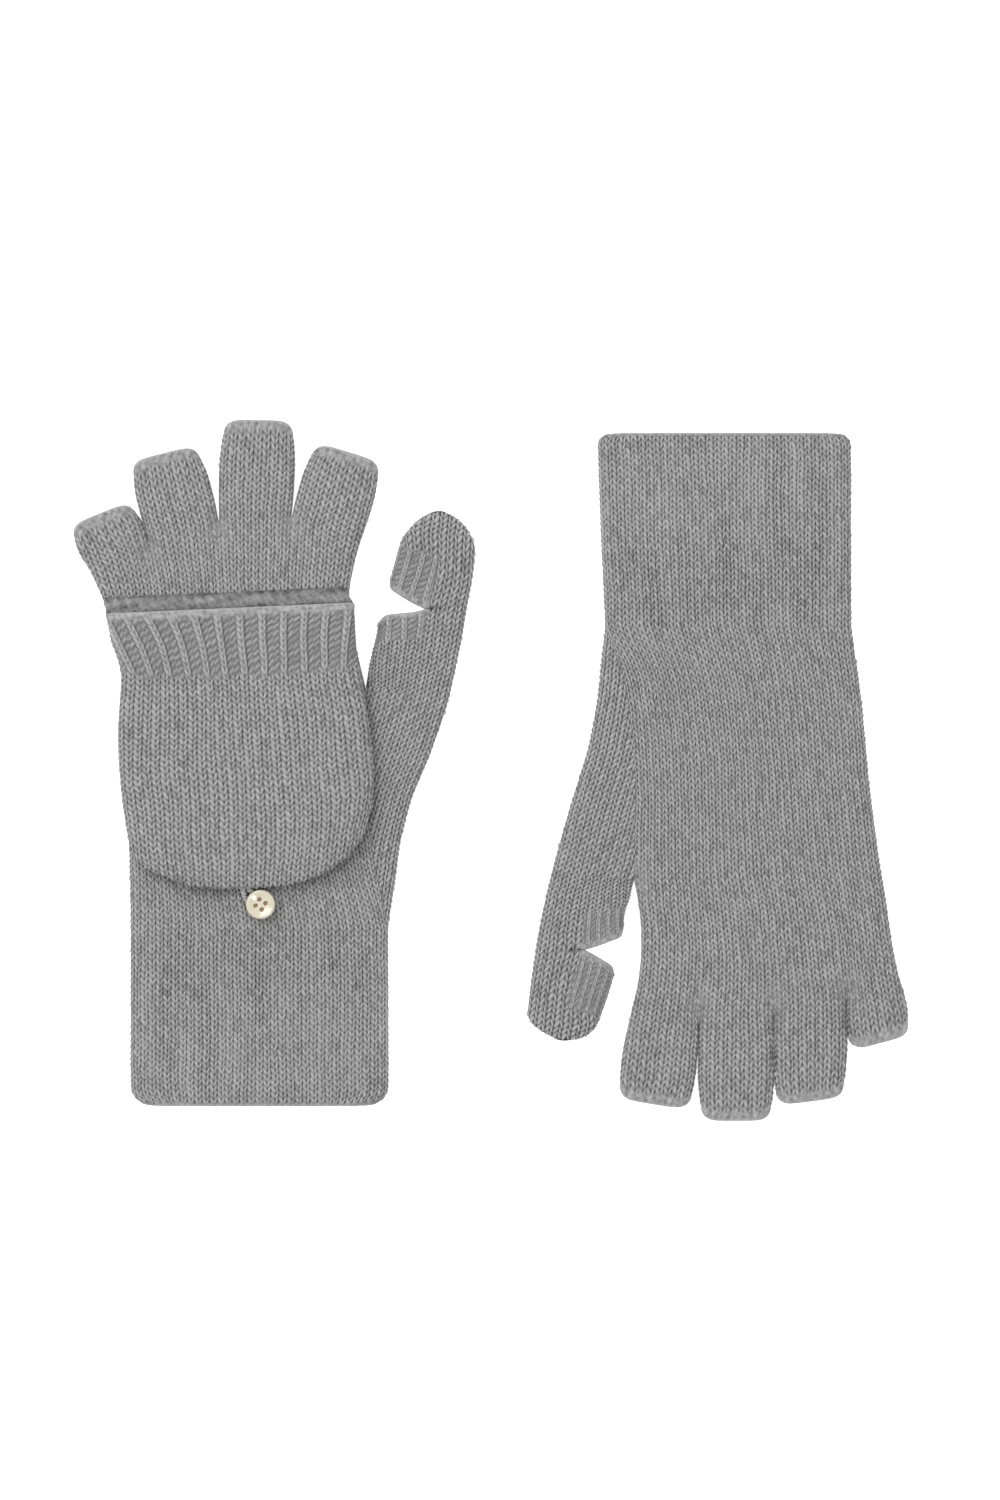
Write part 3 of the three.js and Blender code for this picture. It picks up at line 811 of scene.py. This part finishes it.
def make_thumb(glove, material):
    """Tube and cap in one fabric, parted by a slit across the inner half."""
    thumb = glove.plan["thumb"]
    part = glove.thumb
    apex = part["tube_lip"][-1]
    width = np.linalg.norm(part["tube_outer"][-1] - part["tube_inner"][-1])
    across = np.linalg.norm(apex - part["tube_inner"][-1]) / width
    tube_length, cap_length = reach_of(part["tube_outer"])[-1], reach_of(part["cap_outer"])[-1]
    foot = reach_of(part["outer"])[-1]
    pitch = thumb["rib"]
    cap_foot, cap_top = ((part["cap_inner"][k] + part["cap_outer"][k]) / 2 for k in (0, -1))
    upward = unit(cap_top - cap_foot)
    sideways = np.array([upward[1], -upward[0]])

    def crossing(lip, outer, s):
        """The line of the slit: along a lip to the apex, and on to the outer edge."""
        near = along(lip, np.clip(s / across, 0, 1))
        far = lerp(lip[-1], outer, np.clip((s - across) / (1 - across), 0, 1))
        return np.where((s < across)[..., None], near, far)

    def place_tube(q, v):
        s = TUBE.share(q, width, ease(v / 0.4), 1)
        a, b = part["tube_inner"], part["tube_outer"]
        flat = lerp(along(a, v), along(b, v), s)
        top = crossing(part["tube_lip"], b[-1], s) - lerp(a[-1], b[-1], s)
        return flat + top * (v**2)[..., None]

    def place_cap(q, v):
        s = TUBE.share(q, width, 1, 1)
        a, b = part["cap_inner"], part["cap_outer"]
        flat = lerp(along(a, v), along(b, v), s)
        bottom = crossing(part["cap_lip"], b[0], s) - lerp(a[0], b[0], s)
        flat[..., 1] += 0.5 * (1 - (2 * s - 1) ** 2) * v**2  # the rounded end
        return flat + bottom * ((1 - v) ** 2)[..., None]

    def with_lip(flat, body, gap, course, q, depth):
        """The ribbed strip along a lip of the slit, and painted shade in the fold where its two lips meet.
        """
        inner = ease((across - q) / 0.1)
        near = ease((depth - gap) / 2.0) * inner
        edge = ease((1.7 - gap) / 0.9) * ease((across - q) / 0.03)
        turn = (q * (width + 2 * TUBE.extra) - 1.1) / pitch + 0.05 * ripple(flat, 15, 34)
        height, tint = rib(turn, course + 0.1 * ripple(flat, 7, 33), 0.42 + 0.04 * (6 - pitch))
        height = (body * (1 - near) + (0.25 + 0.6 * height) * near) * (1 - edge) + 0.85 * edge
        tint = (body * (1 - near) + tint * near) * (1 - edge) + rolled(flat, 35) * edge
        # painted shade along the fold at the apex of the slit
        fold = distance(flat, [np.array([apex, apex + (3.5, 0.4)])])
        return height, tint * (1 - 0.5 * np.exp(-((fold / 0.8) ** 2)))

    def tube_stitches(q, v, flat):
        course = (foot + v * tube_length) / COURSE
        body = plain(flat, thumb_wale(q, width), course, THUMB_SEED)
        return with_lip(flat, body, (1 - v) * tube_length, course, q, thumb["lip"][0])

    def cap_stitches(q, v, flat):
        """Wales that fan out of the tube and then run straight on, cut off by the rounded end."""
        straight = ease((v - 0.1) / 0.6)
        from_outer = ((part["cap_outer"][0] - flat) @ sideways + TUBE.extra) * (width + TUBE.extra)
        from_outer /= width + 2 * TUBE.extra
        wale = mixed(thumb_wale(q, width), from_outer / WALE, straight)
        forward = (flat - cap_foot) @ upward
        course = (foot + tube_length + mixed(v * cap_length, forward, straight)) / COURSE
        body = plain(flat, wale, course, THUMB_SEED)
        end = ease((v - 0.95) / 0.05)
        body = body * (1 - end) + 0.62 * end
        return with_lip(flat, body, v * cap_length, course, q, thumb["lip"][1])

    cloth = Cloth(glove)
    tube = glove_layers(cloth, place_tube, THUMB_WALES, tube_length, tube_stitches, detail=RIBBED)
    cap = glove_layers(cloth, place_cap, THUMB_WALES, cap_length, cap_stitches, detail=RIBBED)
    for side in (1, -1):
        columns = tube[side].numbers.shape[1]
        split = int(np.searchsorted(TUBE.share(np.linspace(0, 1, columns), width, 1, 1), across))
        tube[side].rim(-1, slice(0, split + 1), lining_rows=6, row_step=5)
        cap[side].rim(0, slice(0, split + 1), lining_rows=8, row_step=6)
        cloth.weld(tube[side].numbers[-1, split:], cap[side].numbers[0, split:])
    bend_thumb(glove, cloth.finish("thumb_knit", material, ["thumb_tube", "thumb_cap"], body=None))


def bend_thumb(glove, thing):
    """Works out two points across the end of the thumb's slit, which are not used, and bakes the thumb's
    place into its mesh.
    """
    apex = glove.thumb["tube_lip"][-1]
    outward = -sum(unit(glove.thumb[lip][0] - apex) for lip in ("tube_lip", "cap_lip"))
    bend = unit(np.array([-outward[1], outward[0]])) * THUMB_BEND / 2  # across the middle of the slit
    glove.point(*(apex - bend), HAND_MIDDLE)
    glove.point(*(apex + bend), HAND_MIDDLE)
    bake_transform(thing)


# ---- the flip cap

def cap_lift(glove):
    """Height of the folded cap's surface over its mid plane."""
    lines = [glove.cap["little_side"], glove.cap["thumb_side"], glove.cap["end"]]

    def lift(flat):
        gap = distance(flat, lines)
        soft = 0.18 * ripple(flat, 60, 7) + 0.08 * ripple(flat, 18, 8)
        return np.maximum(CAP.height(gap) + soft * ease(gap / 7), 0)

    return lift


def cap_plan(glove, low, high):
    """The cap's patch between two shares of its sides; 0 is the rounded end and 1 the mouth."""
    left, right, end = glove.cap["little_side"], glove.cap["thumb_side"], glove.cap["end"]

    def place(q, v):
        t = low + (high - low) * v
        a, b = along(left, t), along(right, t)
        s = CAP.share(q, CAP_WIDTH, 1, 1)
        flat = lerp(a, b, s)
        x = end[0, 0] + (end[-1, 0] - end[0, 0]) * s
        curved = np.stack([x, np.interp(x, end[:, 0], end[:, 1])], -1)
        straight = lerp(end[0], end[-1], s)
        return flat + (curved - straight) * ((1 - t) ** 1.5)[..., None]

    return place


def make_cap_panel(glove, material):
    """The panel that lies outermost on the folded cap, between its rounded end and the hem."""
    length = glove.cap_length * glove.hem_start + CAP_END
    cloth = Cloth(glove, CAP_FABRIC)
    cap_layer(cloth, 1, 0, glove.hem_start, length, level_stitches(CAP_WALES, CAP_SEED))
    cloth.finish("cap_palm_knit", material, ["cap_palm_panel"], "mitten_cap")


def make_hem(glove, material):
    """Ribbing that fans out towards the little finger, with a bound-off edge."""

    def stitches(q, v, flat):
        x, y = flat[..., 0], flat[..., 1]
        fan = 0.5 * np.clip((12 - x) / 58, 0, 1) ** 1.4 - 0.1 * np.clip((x - 12) / 24, 0, 1)
        turn = (x + fan * (y - 165)) / RIB_PITCH + 0.06 * ripple(flat, 22, 51)
        course = v * HEM_DEPTH / COURSE + 0.15 * ripple(flat, 9, 52)
        height, tint = rib(turn, course, 0.41)
        body = level_stitches(CAP_WALES, CAP_SEED)(q, v, flat)
        foot = ease((2.6 + ripple(flat, 12, 55) - v * HEM_DEPTH) / 2.6)
        edge = ease((3.6 + 0.4 * ripple(flat, 6, 56) - (1 - v) * HEM_DEPTH) / 2.4)
        height = (height * (1 - foot) + body * foot) * (1 - edge) + 0.95 * edge
        tint = tint * (1 - foot) + body * foot
        return height, tint * (1 - edge) + (rolled(flat, 53) + 0.08) * edge

    cloth = Cloth(glove, CAP_FABRIC)
    hem = cap_layer(cloth, 1, glove.hem_start, 1, HEM_DEPTH, stitches, detail=RIBBED)
    hem.rim(-1, bulge=0.8, lining_rows=6, row_step=7)
    cloth.finish("hem_knit", material, ["cap_hem"], "mitten_cap")


def make_cap_back(glove, material):
    """The panel under the folded cap, and the band that joins it to the back of the hand."""
    seam = glove.cap["seam"]
    cloth = Cloth(glove, CAP_FABRIC)
    stitches = level_stitches(CAP_WALES, CAP_BACK_SEED)
    panel = cap_layer(cloth, -1, 0, 1, glove.cap_length + CAP_END, stitches, hidden=6)
    top = panel.base[-1]
    foot = along(seam, np.linspace(0, 1, len(top)))
    opened = (CAP_MIDDLE - top[:, 2]) / CAP.half  # the mouth closes to nothing at its two ends
    rows, tints = [], []
    for t in np.linspace(0, 1, 34):
        flat = top[:, :2] * (1 - t) + foot * t
        low = top[:, 2] * (1 - t) + BACK * t
        fuzz = ripple(flat, 4.0, 71) + 0.7 * ripple(flat, 1.8, 72)
        swell = 5.2 * np.sin(np.pi * t**0.35) + 0.3 * fuzz * np.sin(np.pi * t) ** 0.5
        rows.append(np.concatenate([flat, (low + swell * opened)[:, None]], -1))
        # the fuzz is the band's own unevenness; its low tint and the darkening at both ends are painted
        # shade in the recess under the hem
        tints.append(0.48 + 0.14 * fuzz - 0.2 * t**6 - 0.16 * (1 - t) ** 3)
    band = cloth.grid(np.stack(rows), np.stack(tints), 1)
    cloth.weld(panel.numbers[-1], band[0])
    thing = cloth.finish("cap_back_knit", material, ["cap_back_panel"], body=None)
    x, y = (seam[0] + seam[-1]) / 2
    glove.point(x, y + 0.5, CAP_MIDDLE)
    glove.point(x, y - 8.5, CAP_MIDDLE)
    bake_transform(thing)


# ---- button and loop

def make_button(glove, material):
    """A turned disc whose rows run from the middle of its face, round the rim, to its underside."""
    x, y = glove.plan["cap"]["button"]
    profile = smooth(BUTTON_PROFILE, 8)
    share = np.linspace(0, 1, 110)
    r, z = along(profile, share).T
    turn = np.linspace(0, 2 * np.pi, 97)
    across = r[:, None] * np.cos(turn), r[:, None] * np.sin(turn)
    height = z[:, None] * np.ones_like(turn)
    tint = np.ones_like(height)
    top = (share * reach_of(profile)[-1] < BUTTON_FACE)[:, None]
    for quarter in range(4):
        angle = BUTTON_TURN + quarter * np.pi / 2
        gap = np.hypot(across[0] - HOLE_REACH * np.cos(angle), across[1] - HOLE_REACH * np.sin(angle))
        height -= HOLE_DEPTH * ease((0.85 - gap) / 0.35) * top
        tint = np.where(top & (gap < 1.0), np.minimum(tint, 0.15 + 0.85 * ease((gap - 0.62) / 0.38)), tint)
        tint = np.where(top & (gap < 0.45), 0.5, tint)
    points = np.stack([x + across[0], y + across[1], BACK + BUTTON_GAP + height], -1)
    cloth = Cloth(glove)
    numbers = cloth.grid(points, tint, -1)
    cloth.weld(numbers[:, 0], numbers[:, -1])
    cloth.finish("button_shell", material, ["button"], "button_disc")


def strand(cloth, path, middle):
    """A ply along a dense (n, 3) path, with painted shade towards the middle line of its cord, where the
    two plies touch.
    """
    way = unit(np.gradient(path, axis=0))
    side = unit(np.cross(way, (0, 0, 1)))
    up = np.cross(side, way)
    turn = np.linspace(0, 2 * np.pi, 9)[None, :, None]
    ring = path[:, None] + PLY_RADIUS * (side[:, None] * np.cos(turn) + up[:, None] * np.sin(turn))
    gap = np.linalg.norm(ring - middle[:, None], axis=-1)
    # painted shade where the plies touch
    tint = 0.15 + 0.7 * gap / gap.max()
    numbers = cloth.grid(ring, tint, 1)
    cloth.weld(numbers[:, 0], numbers[:, -1])


def make_loop(glove, material):
    """A two-ply cord from the cap's tip, round the button's shank and back."""
    x, y = glove.plan["cap"]["button"]
    path = smooth([(x + across, y + up, BACK + rise) for across, up, rise in LOOP_ROUTE], 12)
    twist = 2 * np.pi * np.linspace(0, reach_of(path)[-1] / PLY_PITCH, 320)
    path = along(path, np.linspace(0, 1, 320))
    forward = unit(np.gradient(path, axis=0))
    side = np.cross(forward, (0, 0, 1))
    up = np.cross(side, forward)
    cloth = Cloth(glove)
    for ply in (0, np.pi):
        angle = (twist + ply)[:, None]
        strand(cloth, path + PLY_OFFSET * (side * np.cos(angle) + up * np.sin(angle)), path)
    thing = cloth.finish("loop_cord", material, ["button_loop"], body=None)
    root = np.array(LOOP_ROOT)
    bend = unit((x, y) - root)
    glove.point(*(root - 2.5 * bend), BACK)
    glove.point(*(root + 1.0 * bend), BACK)
    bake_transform(thing)


# ---- materials

def set_inputs(tree, node, inputs):
    """Links each input, by name or number, to a socket, or sets it to a value."""
    for key, value in inputs.items():
        if isinstance(value, bpy.types.NodeSocket):
            tree.links.new(value, node.inputs[key])
        else:
            node.inputs[key].default_value = value


def add_node(tree, kind, inputs):
    node = tree.nodes.new("ShaderNode" + kind)
    set_inputs(tree, node, inputs)
    return node


def new_material(name):
    material = bpy.data.materials.new(name)
    material.use_nodes = True
    tree = material.node_tree
    return material, tree, tree.nodes["Principled BSDF"]


def noise(tree, place, scale, detail=2.0, roughness=0.6):
    inputs = {"Vector": place, "Scale": scale, "Detail": detail, "Roughness": roughness}
    return add_node(tree, "TexNoise", inputs).outputs["Fac"]


def remap(tree, value, low, high, to_low, to_high):
    inputs = {"Value": value, "From Min": low, "From Max": high, "To Min": to_low, "To Max": to_high}
    return add_node(tree, "MapRange", inputs).outputs["Result"]


def product(tree, a, b):
    node = add_node(tree, "Math", {0: a, 1: b})
    node.operation = "MULTIPLY"
    return node.outputs["Value"]


def relief_of(tree):
    """The tint the mesh carries, 0 to about 1: on the knitting it follows the height of the stitches and
    carries painted shade, on the button it marks the holes.
    """
    node = add_node(tree, "Attribute", {})
    node.attribute_name = "relief"
    return node.outputs["Fac"]


def knit_material(name, grey):
    """Heathered grey wool: light and dark fibres, with painted shade in the pits between stitches."""
    material, tree, shader = new_material(name)
    place = add_node(tree, "TexCoord", {}).outputs["Object"]
    # painted shade: low tint values from the mesh darken the colour in pits, troughs, recesses and
    # rolled-under edges
    depth = remap(tree, relief_of(tree), 0.1, 0.85, 0.1, 1.05)
    heather = remap(tree, noise(tree, place, 1100, 3.0, 0.7), 0.25, 0.75, 0.68, 1.3)
    patches = remap(tree, noise(tree, place, 90), 0.3, 0.7, 0.97, 1.03)
    value = product(tree, product(tree, product(tree, depth, heather), patches), grey)
    colour = add_node(tree, "CombineColor", {"Red": value, "Green": value, "Blue": value})
    fuzz = noise(tree, place, 2600, 2.0, 0.7)
    bump = add_node(tree, "Bump", {"Height": fuzz, "Strength": 0.5, "Distance": 0.0002})
    set_inputs(tree, shader, {
        "Base Color": colour.outputs["Color"],
        "Normal": bump.outputs["Normal"],
        "Roughness": 0.95,
        "Specular IOR Level": 0.15,
        "Sheen Weight": 0.15,
        "Sheen Roughness": 0.6,
    })
    return material


def shell_material(name):
    """Polished cream shell, brown inside the thread holes."""
    material, tree, shader = new_material(name)
    ramp = add_node(tree, "ValToRGB", {"Fac": relief_of(tree)})
    hole, shell = ramp.color_ramp.elements
    hole.color = (0.20, 0.08, 0.025, 1)
    shell.color = (0.61, 0.565, 0.43, 1)
    shell.position = 0.75
    halo = ramp.color_ramp.elements.new(0.35)
    halo.color = (0.42, 0.24, 0.12, 1)
    polish = {"Roughness": 0.18, "Coat Weight": 1.0, "Coat Roughness": 0.04}
    set_inputs(tree, shader, {"Base Color": ramp.outputs["Color"], **polish})
    return material


def plain_material(name, inputs):
    material, tree, shader = new_material(name)
    set_inputs(tree, shader, inputs)
    return material


# ---- stage, metres

FLOOR_SIZE = 6
FLOOR_HEIGHT = -0.0015
WORLD_LIGHT = 0.6
LIGHTS = {
    "key": {"place": (-0.75, 0.8, 1.3), "size": 1.3, "power": 21},
    "glint": {"place": (0.65, -0.9, 1.4), "size": 0.3, "power": 8},
}
LENS = 180  # millimetres
SENSOR = 36  # millimetres
VIEW = 0.54  # height of what the camera takes in
VIEW_MIDDLE = (0.00286, 0.0074, 0.008)


def make_floor():
    """A white floor that lights itself a little, as pale as the background."""
    white = {"Base Color": (0.9, 0.9, 0.9, 1), "Roughness": 0.9}
    glow = {"Emission Color": (1, 1, 1, 1), "Emission Strength": 0.75}
    bpy.ops.mesh.primitive_plane_add(size=FLOOR_SIZE, location=(0, 0, FLOOR_HEIGHT))
    floor = bpy.context.object
    floor.name = "floor"
    floor.data.materials.append(plain_material("floor_white", white | glow))


def make_world():
    world = bpy.context.scene.world or bpy.data.worlds.new("World")
    bpy.context.scene.world = world
    world.use_nodes = True
    background = world.node_tree.nodes["Background"]
    set_inputs(world.node_tree, background, {"Color": (1, 1, 1, 1), "Strength": WORLD_LIGHT})


def make_lights():
    for name, spec in LIGHTS.items():
        light = bpy.data.lights.new(name, "AREA")
        light.size = spec["size"]
        light.energy = spec["power"]
        lamp = add_object(name, light)
        lamp.location = spec["place"]
        lamp.rotation_euler = (-Vector(spec["place"])).to_track_quat("-Z", "Y").to_euler()


def make_camera():
    """Looks straight down."""
    lens = bpy.data.cameras.new("camera")
    lens.lens = LENS
    lens.sensor_width = SENSOR
    eye = add_object("camera", lens)
    x, y, z = VIEW_MIDDLE
    eye.location = (x, y, VIEW * LENS / SENSOR + z)
    bpy.context.scene.camera = eye


# ---- all together

def build(plan, knit, shell, thread, cord):
    glove = Glove(plan)
    make_cuff(glove, knit)
    make_hand(glove, knit)
    for finger in FINGERS:
        make_finger(glove, finger, knit)
    make_gusset(glove, knit)
    make_thumb(glove, knit)
    make_cap_panel(glove, knit)
    make_hem(glove, knit)
    make_cap_back(glove, knit)
    make_button(glove, shell)
    make_loop(glove, cord)
    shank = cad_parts[glove.node("button_thread")]
    shank.data.materials.clear()
    shank.data.materials.append(thread)


materials = {
    "knit": knit_material("grey_wool", 0.35),
    "shell": shell_material("button_shell"),
    "thread": plain_material("sewing_thread", {"Base Color": (0.25, 0.14, 0.06, 1), "Roughness": 0.8}),
    "cord": knit_material("loop_cord", 0.4),
}
for plan in (LEFT, RIGHT):
    build(plan, **materials)
make_floor()
make_world()
make_lights()
bpy.context.scene.view_settings.view_transform = "Standard"
bpy.context.scene.view_settings.look = "None"
make_camera()
